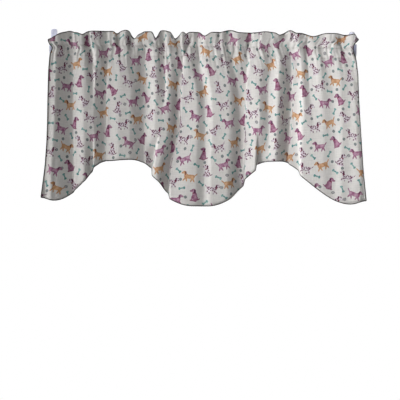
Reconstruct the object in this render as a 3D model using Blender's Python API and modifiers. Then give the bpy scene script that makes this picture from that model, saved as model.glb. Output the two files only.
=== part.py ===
"""Rod-pocket window valance with a scalloped hem, gathered on a round rod in two wall brackets.

+X runs along the rod to the viewer's right, +Z is up and the cloth faces -Y. The wall is the
plane y = 0, and the origin lies on it, midway between the brackets at the height of the rod's
axis. Driving sizes are in millimetres, so that the tables read like a maker's notes.
"""
import math

import bmesh
import bpy
import numpy as np

MM = 0.001

# Rod and brackets.
ROD_TO_WALL = 65.0
ROD_RADIUS = 8.0
ROD_SIDES = 48
BRACKET_SPAN = 797.0
SEAT_GAP = 0.3
CUP_WIDTH = 11.2
CUP_WALL = 4.0
CUP_CHEEK = 2.5
CUP_TOP = 19.0
ARM_TOP = -2.0
ARM_FILLET = 3.0
PLATE_WIDTH = 16.5
PLATE_THICKNESS = 3.0
PLATE_TOP = 60.0
PLATE_BOTTOM = -27.0
PLATE_CORNER = 6.0
EDGE_ROUND = 0.8
SHARP_DEGREES = 50

# Cloth: one panel cut 1067 mm wide, its top turned back and stitched twice for header and pocket.
CLOTH_THICKNESS = 1.2
LAYER_PITCH = 2.6
FLAT_WIDTH = 1067.0
HEADER_TOP = 48.5
HEADER_SEAM = 10.5
POCKET_SEAM = -17.0
COLUMNS = 100
CURVE_SAMPLES = 1600
LEVEL_SAMPLES = 99
LOWEST_LEVEL = -430.0
HIGHEST_LEVEL = 60.0

# Where the cloth's front plane stands from the rod's axis, and where its side edges hang.
LEVELS = (
    # height, front plane, left edge, right edge
    (-400, -32.0, -421.0, 433.0),
    (-310, -31.0, -410.5, 423.0),
    (-250, -30.0, -406.5, 418.5),
    (-190, -29.0, -405.0, 414.0),
    (-130, -28.0, -405.0, 410.0),
    (-60, -24.0, -404.0, 407.0),
    (-15, -21.0, -401.0, 401.0),
    (-6, -22.0, -396.0, 395.5),
    (3, -21.0, -394.0, 394.5),
    (10, -19.0, -402.0, 395.0),
    (18, -19.5, -406.0, 396.0),
    (30, -20.0, -407.0, 408.0),
    (49, -20.0, -407.0, 411.0),
)

# Folds. Each row is one valley between two rounded fronts: its place along the rod and its depth
# behind the front plane at five heights, the widths over which the cloth falls back to its left
# and comes forward to its right, and the share of the depth that it regains in one sharp step.
FOLD_HEIGHTS = (30, -20, -105, -210, -340)
FOLDS = (
    # valley x at each height, depth at each height, fall, rise, step
    ((-407, -402, -405, -405, -413), (2, 2, 5, 5, 8), 20, 26, 0.0),
    ((-372, -369, -373, -376, -384), (0, 3, 5, 5, 4), 13, 40, 0.0),
    ((-343, -342, -342, -340, -337), (8, 12, 16, 17, 17), 46, 34, 0.4),
    ((-299, -292, -287, -286, -288), (10, 10, 3, 0, 14), 20, 20, 0.6),
    ((-252, -250, -254, -254, -256), (7, 10, 12, 14, 21), 32, 40, 0.5),
    ((-220, -215, -212, -210, -208), (5, 1, 0, 0, 0), 16, 16, 0.0),
    ((-186, -185, -180, -178, -176), (12, 6, 0, 0, 0), 18, 16, 0.3),
    ((-153, -153, -151, -152, -152), (4, 14, 18, 17, 17), 40, 32, 0.4),
    ((-102, -102, -98, -112, -130), (10, 11, 6, 2, 26), 24, 18, 0.8),
    ((-62, -54, -59, -62, -86), (8, 9, 18, 24, 34), 32, 56, 0.5),
    ((-39, -40, -40, -40, -40), (7, 0, 0, 0, 0), 16, 16, 0.0),
    ((-13, -15, 4, 8, 6), (9, 10, 10, 8, 7), 24, 22, 0.2),
    ((68, 76, 93, 96, 98), (9, 9, 6, 0, 0), 22, 22, 0.2),
    ((128, 121, 111, 112, 109), (10, 10, 18, 26, 30), 44, 36, 0.5),
    ((150, 150, 150, 148, 144), (0, 0, 0, 0, 26), 6, 40, 0.0),
    ((178, 181, 173, 175, 174), (3, 8, 10, 9, 6), 26, 26, 0.3),
    ((210, 202, 200, 200, 200), (5, 0, 0, 0, 0), 16, 14, 0.0),
    ((223, 236, 237, 233, 227), (8, 16, 24, 27, 28), 40, 36, 0.4),
    ((254, 254, 254, 254, 254), (0, 0, 0, 0, 18), 24, 10, 0.9),
    ((268, 276, 281, 296, 305), (7, 10, 7, 1, 0), 22, 34, 0.2),
    ((307, 323, 339, 344, 345), (6, 5, 4, 4, 4), 30, 28, 0.0),
    ((368, 381, 385, 386, 386), (7, 3, 2, 2, 2), 26, 24, 0.0),
    ((411, 401, 410, 417, 428), (3, 1, 4, 4, 6), 14, 20, 0.0),
)
STEP_WIDTH = 9.0

# The ruffle's top edge sags, or here and there stands up, where its folds lean: place along the
# rod, depth of the sag and half its width.
HEADER_DIPS = (
    # x, sag, half width
    (-408, 27, 36),
    (-375, 5, 30),
    (-335, 4, 16),
    (-317, 9, 18),
    (-222, 7, 14),
    (-183, 15, 14),
    (-165, 6, 12),
    (-125, 11, 11),
    (-73, 16, 17),
    (-44, 5, 8),
    (5, 10, 19),
    (70, -6, 26),
    (165, -3, 30),
    (202, 5, 14),
    (228, -7, 18),
    (290, 8, 34),
    (376, 4, 26),
    (411, 14, 16),
)

# The hem's cut line from the left edge to the right, its two halves a little uneven: flat width
# of each stretch, and the drop below the rod's axis at its end.
HEM_CORNER = 392.0
HEM_CUT = (
    # stretch, drop at its end
    (38, 399),
    (170, 294),
    (57, 290),
    (245, 410),
    (40, 410),
    (225, 291),
    (40, 290),
    (208, 401),
    (44, 392),
)

# Rows of the sheet. Pocket back: distance and angle about the rod's axis, from under it to its top.
POCKET_BACK = (
    # radius, degrees above the horizontal behind the rod
    (10.6, -76),
    (11.0, -50),
    (10.5, 0),
    (11.0, 50),
    (8.9, 90),
)
POCKET_BACK_END = 390.0
POCKET_BACK_TUCK = 30.0
POCKET_FRONT_HEIGHTS = (5.0, -3.0, -10.0, POCKET_SEAM)
ROD_CLEARANCE_RADIUS = 9.7
DROP_ROWS = 10
DROP_CROWDING = 1.35


def ease(t):
    """Rise from 0 to 1 with level ends."""
    return 0.5 - 0.5 * np.cos(math.pi * np.clip(t, 0.0, 1.0))


def level(column, height):
    """Read one column of LEVELS at a height."""
    heights = [row[0] for row in LEVELS]
    return np.interp(height, heights, [row[column] for row in LEVELS])


def at_height(values, height):
    """Read a value that is given at the five FOLD_HEIGHTS, on a smooth curve through them."""
    stations = np.array(FOLD_HEIGHTS[::-1], float)
    values = np.array(values[::-1], float)
    height = min(max(height, stations[0]), stations[-1])
    slopes = np.gradient(values, stations)
    slopes[0] = slopes[-1] = 0.0
    i = min(int(np.searchsorted(stations, height, "right")) - 1, len(stations) - 2)
    span = stations[i + 1] - stations[i]
    t = (height - stations[i]) / span
    rise = t * t * (3 - 2 * t)
    bend = slopes[i] * t * (1 - t) ** 2 - slopes[i + 1] * t * t * (1 - t)
    return values[i] * (1 - rise) + values[i + 1] * rise + span * bend


def fold_depth(x, height):
    """How far the folds set the cloth back from its front plane along one level line."""
    depth = np.zeros_like(x)
    for places, depths, fall, rise, step in FOLDS:
        valley = at_height(places, height)
        deepest = at_height(depths, height)
        beyond = x - valley
        falling = ease(1 + beyond / fall)
        stepping = step * (1 - ease(beyond / STEP_WIDTH))
        rising = (1 - step) * (1 - ease(beyond / rise))
        depth += deepest * np.where(beyond < 0, falling, stepping + rising)
    return depth


def hung_curve(height):
    """One level line of the hung cloth: x, y and the share of the flat width used up so far."""
    x = np.linspace(level(2, height), level(3, height), CURVE_SAMPLES)
    y = level(1, height) + fold_depth(x, height)
    if abs(height) < ROD_CLEARANCE_RADIUS:
        y = np.minimum(y, -math.sqrt(ROD_CLEARANCE_RADIUS ** 2 - height ** 2))
    lengths = np.hypot(np.diff(x), np.diff(y))
    used = np.concatenate(([0.0], np.cumsum(lengths)))
    return x, y, used / used[-1]


class HungCloth:
    """Places of the flat columns, at any height, as the cloth hangs in its folds."""

    def __init__(self, columns):
        self.share = np.linspace(0.0, 1.0, columns + 1)
        self.heights = np.linspace(LOWEST_LEVEL, HIGHEST_LEVEL, LEVEL_SAMPLES)
        curves = [hung_curve(height) for height in self.heights]
        self.x = np.array([np.interp(self.share, used, x) for x, _, used in curves])
        self.y = np.array([np.interp(self.share, used, y) for _, y, used in curves])

    def place(self, heights, behind=0.0):
        """Points of every column at the given heights, set behind the face by a distance."""
        wanted = np.broadcast_to(heights, self.share.shape)
        x = np.array([np.interp(h, self.heights, self.x[:, i]) for i, h in enumerate(wanted)])
        y = np.array([np.interp(h, self.heights, self.y[:, i]) for i, h in enumerate(wanted)])
        slope_x = np.gradient(x)
        slope_y = np.gradient(y)
        norm = np.hypot(slope_x, slope_y)
        return np.stack((x - behind * slope_y / norm, y + behind * slope_x / norm, wanted), axis=1)


def header_top(cloth):
    """Height of the ruffle's top edge for each column."""
    x = cloth.place(HEADER_TOP)[:, 0]
    top = np.full_like(x, HEADER_TOP)
    for centre, depth, half_width in HEADER_DIPS:
        top -= depth * (1 - ease(np.abs(x - centre) / half_width))
    return top


def hem_height(cloth):
    """Height of the hem for each column, from the cut line."""
    flat = cloth.share * FLAT_WIDTH
    drop = np.full_like(flat, HEM_CORNER)
    start = 0.0
    last_drop = HEM_CORNER
    for stretch, next_drop in HEM_CUT:
        drop += (next_drop - last_drop) * ease((flat - start) / stretch)
        start += stretch
        last_drop = next_drop
    return -drop


def tucked(row):
    """A row behind the rod, its ends drawn in so that they stop short of the brackets."""
    ends = np.abs(row[:, 0])
    limit = POCKET_BACK_END - POCKET_BACK_TUCK
    reach = ends.max() - limit
    pulled = np.where(ends > limit, limit + (ends - limit) * POCKET_BACK_TUCK / reach, ends)
    x = np.copysign(pulled, row[:, 0])
    return np.stack((x, np.interp(x, row[:, 0], row[:, 1]), row[:, 2]), axis=1)


def sheet_rows(cloth):
    """Rows of points along the sheet: from the turned-in edge behind the pocket to the hem."""
    top = header_top(cloth)
    half_pitch = LAYER_PITCH / 2
    middle = (HEADER_SEAM + top) / 2
    rows = [tucked(cloth.place(POCKET_SEAM, LAYER_PITCH))]
    for radius, degrees in POCKET_BACK:
        row = tucked(cloth.place(HEADER_SEAM))
        row[:, 1] = radius * math.cos(math.radians(degrees))
        row[:, 2] = radius * math.sin(math.radians(degrees))
        rows.append(row)
    rows.append(tucked(cloth.place(HEADER_SEAM, LAYER_PITCH)))
    rows.append(cloth.place(middle, LAYER_PITCH))
    rows.append(cloth.place(top - half_pitch, LAYER_PITCH))
    rows.append(cloth.place(top, half_pitch))
    rows.append(cloth.place(top - half_pitch))
    rows.append(cloth.place(middle))
    rows.append(cloth.place(HEADER_SEAM))
    for height in POCKET_FRONT_HEIGHTS:
        rows.append(cloth.place(height))
    hem = hem_height(cloth)
    for step in range(1, DROP_ROWS + 1):
        share = (step / DROP_ROWS) ** DROP_CROWDING
        rows.append(cloth.place(POCKET_SEAM + share * (hem - POCKET_SEAM)))
    return rows


def world(x, y, z):
    """Millimetres about the rod's axis, turned into metres from the wall."""
    return (x * MM, (y - ROD_TO_WALL) * MM, z * MM)


def new_material(name, colour, roughness, metallic=0.0):
    material = bpy.data.materials.new(name)
    material.use_nodes = True
    shader = material.node_tree.nodes["Principled BSDF"]
    shader.inputs["Base Color"].default_value = (*colour, 1.0)
    shader.inputs["Roughness"].default_value = roughness
    shader.inputs["Metallic"].default_value = metallic
    return material


def new_object(name, bm, collection, material=None):
    mesh = bpy.data.meshes.new(name)
    bm.to_mesh(mesh)
    bm.free()
    obj = bpy.data.objects.new(name, mesh)
    collection.objects.link(obj)
    if material:
        mesh.materials.append(material)
    return obj


def make_cloth(collection, material):
    """The valance: one sheet, its folds put into a flat grid, then given its thickness."""
    cloth = HungCloth(COLUMNS)
    rows = sheet_rows(cloth)
    spans = len(rows) - 1
    bm = bmesh.new()
    bmesh.ops.create_grid(bm, x_segments=COLUMNS, y_segments=spans, size=1.0)
    for vertex in bm.verts:
        column = round((vertex.co.x + 1) / 2 * COLUMNS)
        row = round((vertex.co.y + 1) / 2 * spans)
        vertex.co = world(*rows[row][column])
    bmesh.ops.reverse_faces(bm, faces=bm.faces)
    obj = new_object("valance_cloth", bm, collection, material)
    obj.data.shade_smooth()
    wall = obj.modifiers.new("Thickness", "SOLIDIFY")
    wall.thickness = CLOTH_THICKNESS * MM
    wall.offset = 0.0


def round_edges(obj):
    """The small radius that moulding or pressing leaves on every hard edge."""
    soften = obj.modifiers.new("Rounded edges", "BEVEL")
    soften.width = EDGE_ROUND * MM
    soften.segments = 2
    soften.limit_method = "ANGLE"
    soften.angle_limit = math.radians(SHARP_DEGREES)


def make_rod(collection, material):
    """A plain round rod, its ends just clear of the cups' cheeks."""
    reach = BRACKET_SPAN / 2 + CUP_WIDTH / 2 - CUP_CHEEK - SEAT_GAP
    bpy.ops.mesh.primitive_cylinder_add(
        vertices=ROD_SIDES, radius=ROD_RADIUS * MM, depth=2 * reach * MM,
        location=world(0, 0, 0), rotation=(0, math.pi / 2, 0))
    rod = bpy.context.object
    rod.name = "curtain_rod"
    rod.data.materials.append(material)
    rod.data.shade_smooth()
    rod.data.set_sharp_from_angle(angle=math.radians(SHARP_DEGREES))
    bpy.context.collection.objects.unlink(rod)
    collection.objects.link(rod)
    round_edges(rod)


def arc(radius, start, end, steps, centre=(0.0, 0.0)):
    """Points of an arc in the side view: y towards the wall, z up, angles in degrees."""
    angles = [math.radians(start + (end - start) * i / steps) for i in range(steps + 1)]
    return [(centre[0] + radius * math.cos(a), centre[1] + radius * math.sin(a)) for a in angles]


def draw_out(outline, travel):
    """A flat outline of points, drawn out along one vector into a closed block."""
    bm = bmesh.new()
    face = bm.faces.new([bm.verts.new(point) for point in outline])
    drawn = bmesh.ops.extrude_face_region(bm, geom=[face])
    moved = [item for item in drawn["geom"] if isinstance(item, bmesh.types.BMVert)]
    bmesh.ops.translate(bm, verts=moved, vec=travel)
    bmesh.ops.recalc_face_normals(bm, faces=bm.faces)
    return bm


def block_outline():
    """The cup and its arm in side view, before the cup is hollowed."""
    outer = ROD_RADIUS + SEAT_GAP + CUP_WALL
    wall_face = ROD_TO_WALL - PLATE_THICKNESS / 2
    points = [(-outer, CUP_TOP)]
    points += arc(outer, 180, 270, 12)
    points += [(wall_face, -outer), (wall_face, ARM_TOP)]
    points += arc(ARM_FILLET, 270, 180, 4, (outer + ARM_FILLET, ARM_TOP + ARM_FILLET))
    points += [(outer, CUP_TOP)]
    return points


def hollow_outline():
    """The open slot that the rod is laid into from above."""
    inner = ROD_RADIUS + SEAT_GAP
    above = CUP_TOP + CUP_WALL
    return [(-inner, above)] + arc(inner, 180, 360, 20) + [(inner, above)]


def plate_outline():
    """The wall plate seen from the front, about its own middle."""
    half = PLATE_WIDTH / 2 - PLATE_CORNER
    high = PLATE_TOP - PLATE_CORNER
    low = PLATE_BOTTOM + PLATE_CORNER
    points = []
    for x, z, start in ((half, high, 0), (-half, high, 90), (-half, low, 180), (half, low, 270)):
        points += arc(PLATE_CORNER, start, start + 90, 6, (x, z))
    return points


def make_bracket(name, side, collection, cutters, material):
    """One moulded bracket: wall plate, arm and a deep cup whose outer side is closed."""
    middle = side * BRACKET_SPAN / 2
    outside = middle + side * CUP_WIDTH / 2
    inside = middle - side * CUP_WIDTH / 2

    plate = [world(middle + x, ROD_TO_WALL, z) for x, z in plate_outline()]
    bracket = new_object(name, draw_out(plate, (0, -PLATE_THICKNESS * MM, 0)), collection, material)

    hollow_from = outside - side * CUP_CHEEK
    hollow_to = inside - side * CUP_WALL
    for label, outline, start, end, operation in (
            ("cup_block", block_outline(), outside, inside, "UNION"),
            ("cup_hollow", hollow_outline(), hollow_from, hollow_to, "DIFFERENCE")):
        near_side = [world(start, y, z) for y, z in outline]
        tool = new_object(f"{name}_{label}", draw_out(near_side, ((end - start) * MM, 0, 0)), cutters)
        tool.hide_render = True
        tool.display_type = "WIRE"
        shaping = bracket.modifiers.new(label, "BOOLEAN")
        shaping.operation = operation
        shaping.solver = "EXACT"
        shaping.object = tool
    round_edges(bracket)


def build():
    for obj in list(bpy.data.objects):
        bpy.data.objects.remove(obj)
    collection = bpy.data.collections.new("window_valance")
    cutters = bpy.data.collections.new("cutters")
    for group in (collection, cutters):
        bpy.context.scene.collection.children.link(group)
    cotton = new_material("printed_cotton", (0.78, 0.75, 0.72), 0.9)
    enamel = new_material("white_enamel", (0.85, 0.85, 0.88), 0.4)
    plastic = new_material("white_plastic", (0.86, 0.86, 0.90), 0.45)
    make_cloth(collection, cotton)
    make_rod(collection, enamel)
    make_bracket("bracket_left", -1, collection, cutters, plastic)
    make_bracket("bracket_right", 1, collection, cutters, plastic)


build()
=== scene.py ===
import math

import bmesh
import bpy
import numpy as np
from mathutils import Matrix, Vector

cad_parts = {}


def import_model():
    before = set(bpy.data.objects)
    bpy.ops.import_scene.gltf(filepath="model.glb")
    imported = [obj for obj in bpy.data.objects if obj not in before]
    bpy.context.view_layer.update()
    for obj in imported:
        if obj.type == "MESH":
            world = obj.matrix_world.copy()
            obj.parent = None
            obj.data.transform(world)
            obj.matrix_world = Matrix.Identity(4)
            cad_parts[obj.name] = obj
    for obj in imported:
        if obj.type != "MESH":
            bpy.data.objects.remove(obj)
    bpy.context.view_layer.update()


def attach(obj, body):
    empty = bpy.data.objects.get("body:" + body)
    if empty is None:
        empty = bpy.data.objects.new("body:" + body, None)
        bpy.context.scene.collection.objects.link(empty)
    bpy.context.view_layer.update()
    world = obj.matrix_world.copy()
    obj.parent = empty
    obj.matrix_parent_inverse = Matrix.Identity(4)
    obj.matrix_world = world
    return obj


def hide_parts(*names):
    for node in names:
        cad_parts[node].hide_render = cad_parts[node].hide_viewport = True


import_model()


# ---------------------------------------------------------------------------------------------
# Wall brackets. Two small brackets, each a wall plate, a short arm and a deep cup in one piece,
# injection moulded in white polypropylene. They are screwed to the wall before the rod goes in.
# ---------------------------------------------------------------------------------------------

def linear(code):
    """An sRGB hex colour as the linear values that a shader takes, opaque."""
    channels = [int(code[i:i + 2], 16) / 255 for i in (0, 2, 4)]
    return (*[c / 12.92 if c <= 0.04045 else ((c + 0.055) / 1.055) ** 2.4 for c in channels], 1.0)


def add_node(tree, kind, sockets=(), stops=(), **settings):
    """Add a node with its settings, and the stops of its ramp if it has one. Its open sockets are
    filled in order, or by name from a dict, with values or with nodes or sockets to link."""
    node = tree.nodes.new(kind)
    for name, value in settings.items():
        setattr(node, name, value)
    for place, _ in stops[2:]:
        node.color_ramp.elements.new(place)
    for element, (place, colour) in zip(node.color_ramp.elements if stops else (), stops):
        element.position = place
        element.color = colour
    opened = [socket for socket in node.inputs if socket.enabled]
    named = {socket.name: socket for socket in opened}
    for key, value in sockets.items() if isinstance(sockets, dict) else enumerate(sockets):
        socket = opened[key] if isinstance(key, int) else named[key]
        if isinstance(value, bpy.types.Node):
            value = next(output for output in value.outputs if output.enabled)
        if isinstance(value, bpy.types.NodeSocket):
            tree.links.new(value, socket)
        else:
            socket.default_value = value
    return node


def new_material(name, **finish):
    """A Principled material whose shader's own sockets are set by name."""
    material = bpy.data.materials.new(name)
    material.use_nodes = True
    shader = material.node_tree.nodes["Principled BSDF"]
    for socket, value in finish.items():
        shader.inputs[socket.replace("_", " ")].default_value = value
    return material, material.node_tree, shader


def mixed(tree, share, first, second, kind="RGBA"):
    """First to second by a share: colours, or numbers for the kind FLOAT."""
    return add_node(tree, "ShaderNodeMix", [share, first, second], data_type=kind)


def grain_noise(tree, place, size, detail):
    """Noise whose grains are of a size in metres."""
    return add_node(tree, "ShaderNodeTexNoise", {"Vector": place, "Scale": 1 / size, "Detail": detail})


BRACKET_WHITE = linear("DCDFF0")
BRACKET_SHADE = linear("CFD2E6")
SATIN_SMOOTHEST = 0.36
SATIN_ROUGHEST = 0.5

# The values that nearly all of a noise lies between.
NOISE_LOW = 0.3
NOISE_HIGH = 0.7

# In metres: the mould's grain and its height, the melt's clouding, and how deep light goes in.
MOULD_GRAIN = 0.0012
MOULD_GRAIN_HEIGHT = 0.00008
FLOW_MARKS = 0.012
LIGHT_DEPTH = 0.009


def moulded_plastic():
    """Polypropylene: satin, a little cool in tone, and slightly translucent, with the fine
    spark-eroded grain of its mould and faint clouding where the melt flowed."""
    material, tree, shader = new_material(
        "Polypropylene, injection moulded, white", IOR=1.49, Specular_IOR_Level=0.45,
        Subsurface_Weight=1.0, Subsurface_Radius=(1.0, 1.0, 1.1), Subsurface_Scale=LIGHT_DEPTH)
    place = add_node(tree, "ShaderNodeTexCoord").outputs["Object"]
    clouds = grain_noise(tree, place, FLOW_MARKS, 2.0)
    tint = mixed(tree, clouds, BRACKET_SHADE, BRACKET_WHITE)
    grain = grain_noise(tree, place, MOULD_GRAIN, 3.0)
    dulled = add_node(tree, "ShaderNodeMapRange", [
        grain, NOISE_LOW, NOISE_HIGH, SATIN_SMOOTHEST, SATIN_ROUGHEST])
    relief = add_node(tree, "ShaderNodeBump", {
        "Height": grain, "Strength": 0.25, "Distance": MOULD_GRAIN_HEIGHT})
    tree.links.new(tint.outputs[2], shader.inputs["Base Color"])
    tree.links.new(dulled.outputs[0], shader.inputs["Roughness"])
    tree.links.new(relief.outputs[0], shader.inputs["Normal"])
    return material


plastic = moulded_plastic()
for node in ("bracket_left", "bracket_right"):
    bpy.data.objects[node].material_slots[0].material = plastic


# ---------------------------------------------------------------------------------------------
# Curtain rod. A plain round steel tube with a baked white enamel coat, laid into the two cups
# from above. The pocket hides all of it but the ends.
# ---------------------------------------------------------------------------------------------

ROD_WHITE = linear("E8E9F0")
ROD_SHADE = linear("DADCE8")

# The orange peel's dimples, in metres.
ORANGE_PEEL = 0.0016
ORANGE_PEEL_DEPTH = 0.00005


def baked_enamel():
    """Baked enamel on steel: an even, half-gloss coat with the slight orange peel of sprayed
    paint."""
    material, tree, shader = new_material(
        "Enamel, sprayed and baked, white", Roughness=0.3, IOR=1.5, Coat_Weight=0.25,
        Coat_Roughness=0.12)
    place = add_node(tree, "ShaderNodeTexCoord").outputs["Object"]
    peel = grain_noise(tree, place, ORANGE_PEEL, 1.0)
    tint = mixed(tree, peel, ROD_SHADE, ROD_WHITE)
    relief = add_node(tree, "ShaderNodeBump", {
        "Height": peel, "Strength": 0.2, "Distance": ORANGE_PEEL_DEPTH})
    tree.links.new(tint.outputs[2], shader.inputs["Base Color"])
    tree.links.new(relief.outputs[0], shader.inputs["Normal"])
    return material


bpy.data.objects["curtain_rod"].material_slots[0].material = baked_enamel()


# ---------------------------------------------------------------------------------------------
# Valance. One panel of printed plain-weave cotton, cut 1067 mm wide with a scalloped hem. Its
# top is turned back and stitched twice, for the standing header and the rod pocket, and the
# panel is pushed together on the rod, so that it hangs in uneven folds.
# ---------------------------------------------------------------------------------------------

# Sizes of the cloth are in mm. Its x runs along the rod, y from the rod's axis to the wall and z
# up from that axis.
MM = 0.001
ROD_TO_WALL = 65.0
CLOTH_THICKNESS = 0.6
FLAT_WIDTH = 1067.0
HEADER_TOP = 45.5
HEADER_SEAM = 10.5
POCKET_SEAM = -17.0
COLUMNS = 432
CURVE_SAMPLES = 2400
LEVEL_SAMPLES = 99
LOWEST_LEVEL = -430.0
HIGHEST_LEVEL = 60.0

# Where the cloth's front plane stands from the rod's axis, and where its side edges hang, at some
# heights. The first three values name the table's columns.
FRONT_PLANE = 1
LEFT_EDGE = 2
RIGHT_EDGE = 3
LEVELS = (
    # height, front plane, left edge, right edge
    (-400, -32.0, -421.0, 433.0),
    (-310, -31.0, -410.5, 423.0),
    (-250, -30.0, -406.5, 418.5),
    (-190, -29.0, -405.0, 414.0),
    (-130, -28.0, -405.0, 410.0),
    (-60, -24.0, -404.0, 407.0),
    (-15, -21.0, -401.0, 401.0),
    (-6, -22.0, -396.0, 395.5),
    (3, -21.0, -394.0, 394.5),
    (10, -19.0, -402.0, 395.0),
    (18, -19.5, -406.0, 396.0),
    (30, -20.0, -407.0, 408.0),
    (49, -20.0, -407.0, 411.0),
)

# Folds, each a valley between two rounded fronts: its place along the rod and its depth behind
# the front plane at five heights, the widths over which the cloth falls back to its left and
# comes forward to its right, and the share of the depth that it regains in one sharp step.
FOLD_HEIGHTS = (30, -20, -105, -210, -340)
FOLDS = (
    # valley x at each height, depth at each height, fall, rise, step
    ((-407, -402, -405, -405, -413), (2, 2, 5, 5, 8), 20, 26, 0.0),
    ((-372, -369, -373, -376, -384), (0, 3, 5, 5, 4), 13, 40, 0.0),
    ((-343, -342, -342, -340, -337), (8, 12, 16, 17, 17), 46, 34, 0.4),
    ((-299, -292, -287, -286, -288), (10, 10, 3, 0, 18), 20, 20, 0.9),
    ((-252, -250, -254, -254, -256), (7, 10, 12, 14, 21), 32, 40, 0.5),
    ((-220, -215, -212, -210, -208), (5, 1, 0, 0, 0), 16, 16, 0.0),
    ((-186, -185, -180, -178, -176), (12, 6, 0, 0, 0), 18, 16, 0.3),
    ((-153, -153, -151, -152, -152), (4, 14, 18, 17, 17), 40, 32, 0.4),
    ((-102, -102, -98, -112, -134), (10, 11, 6, 0, 32), 24, 18, 0.9),
    ((-62, -54, -59, -62, -87), (8, 9, 18, 24, 31), 30, 56, 0.75),
    ((-39, -40, -40, -40, -40), (7, 0, 0, 0, 0), 16, 16, 0.0),
    ((-13, -15, 4, 8, 6), (9, 10, 10, 8, 7), 24, 22, 0.2),
    ((68, 76, 93, 96, 98), (9, 9, 6, 0, 0), 22, 22, 0.2),
    ((128, 121, 111, 112, 109), (10, 10, 18, 26, 31), 44, 36, 0.7),
    ((150, 150, 150, 148, 144), (0, 0, 0, 0, 32), 4, 40, 0.0),
    ((178, 181, 173, 175, 174), (3, 8, 10, 9, 6), 26, 26, 0.3),
    ((210, 202, 200, 200, 200), (5, 0, 0, 0, 0), 16, 14, 0.0),
    ((223, 234, 235, 231, 226), (8, 18, 28, 31, 32), 38, 36, 0.4),
    ((254, 254, 254, 254, 254), (0, 0, 0, 0, 18), 24, 10, 0.9),
    ((268, 276, 281, 296, 305), (7, 10, 7, 1, 0), 22, 34, 0.2),
    ((307, 323, 339, 344, 345), (6, 5, 4, 4, 4), 30, 28, 0.0),
    ((368, 381, 385, 386, 386), (7, 3, 2, 2, 2), 26, 24, 0.0),
    ((411, 401, 410, 417, 428), (3, 1, 4, 4, 6), 14, 20, 0.0),
)
STEP_WIDTH = 5.5

# Short creases about the header and the pocket, where the gathers catch each other. Each is a
# little steeper on its right than on its left, runs at full depth along its middle and fades out
# towards its ends. A negative depth is a ridge.
CREASE_SLOPE = 1.2
CREASE_LIP = 0.8
CREASE_FULL = 0.2
CREASE_FADING = 0.45
CREASES = (
    # middle x, middle z, length, degrees from upright, half width, depth
    (-366, 11, 22, 8, 4.0, 4.5),
    (-350, -10, 31, -25, 4.0, 3.5),
    (-362, -3, 18, 35, 3.5, 3.0),
    (-307, 17, 32, -7, 4.5, 7.5),
    (-290, -16, 39, 2, 4.0, 3.0),
    (-274, -17, 45, 0, 9.0, -4.5),
    (-282, -45, 23, -50, 4.0, 4.5),
    (-262, 37, 14, 10, 4.0, 3.5),
    (-223, 22, 34, 3, 4.5, 8.0),
    (-204, 23, 24, 29, 3.5, 3.0),
    (-191, 19, 32, 2, 4.5, 8.0),
    (-147, -2, 34, 0, 5.0, 4.0),
    (-131, 20, 22, -50, 5.0, 4.5),
    (-119, 16, 11, 0, 3.5, 3.5),
    (-103, 4, 34, 0, 4.5, 6.0),
    (-70, 19, 16, 0, 4.0, 6.0),
    (-39, 8, 62, 22, 3.5, 10.0),
    (-9, -12, 52, -4, 4.0, 8.0),
    (43, 34, 30, 0, 5.0, 5.0),
    (83, -2, 54, 8, 4.0, 8.0),
    (123, 26, 26, -9, 5.0, 8.0),
    (118, -1, 34, 12, 4.0, 5.0),
    (164, 5, 20, 10, 4.0, 3.5),
    (196, 27, 18, 0, 5.0, 3.5),
    (216, 39, 16, 0, 5.0, 6.0),
    (232, 8, 40, -4, 5.0, 5.0),
    (241, 8, 30, 24, 3.0, 4.5),
    (237, 34, 14, 0, 4.0, 4.5),
    (276, 12, 38, -5, 4.5, 8.5),
    (268, 29, 10, 0, 4.5, -3.0),
    (360, 29, 20, 13, 5.0, 5.0),
    (364, 14, 26, -26, 4.5, 6.5),
    (373, -6, 24, -26, 4.5, 5.0),
    (335, 12, 18, 0, 5.0, 3.0),
    (339, -9, 26, 0, 6.0, -3.0),
)

# The header's top edge sags, or here and there stands up, where its folds lean: place along the
# rod, depth of the sag and half its width.
HEADER_DIPS = (
    # x, sag, half width
    (-410, 23, 42),
    (-375, 5, 30),
    (-335, 4, 16),
    (-317, 9, 18),
    (-226, 6, 12),
    (-203, -3, 16),
    (-180, 19, 16),
    (-165, 6, 12),
    (-123, 18, 14),
    (-105, -4, 16),
    (-71, 18, 18),
    (-44, 5, 8),
    (5, 10, 19),
    (70, -6, 26),
    (165, -3, 30),
    (202, 5, 14),
    (228, -7, 18),
    (290, 8, 34),
    (376, 4, 26),
    (411, 14, 16),
)

# The hem's cut line from the left edge to the right, its two halves a little uneven.
HEM_CORNER = 392.0
HEM_CUT = (
    # flat width of the stretch, drop below the rod's axis at its end
    (36, 399),
    (164, 294),
    (70, 290),
    (240, 410),
    (38, 410),
    (225, 291),
    (44, 290),
    (206, 401),
    (44, 392),
)

# Fine gathers that each line of stitches pulls into the cloth, as uneven waves along its width.
# They drift sideways with height and fade away above and below the seams. The stitches also pinch
# the cloth in, and the pocket swells over the rod.
GATHERS = (
    # flat length of the wave, phase, height
    (8.7, 0.3, 0.30),
    (12.4, 2.1, 0.45),
    (17.9, 4.4, 0.60),
    (27.3, 1.2, 0.55),
)
GATHERS_DRIFT = 0.035
GATHERS_WANDER = 0.8
GATHERS_WANDER_REACH = 57.0
GATHERS_FADE_UP = 22.0
GATHERS_FADE_DOWN = 26.0
SEAM_PINCH = 1.6
SEAM_PINCH_WIDTH = 3.2
POCKET_SWELL = 1.2

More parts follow.
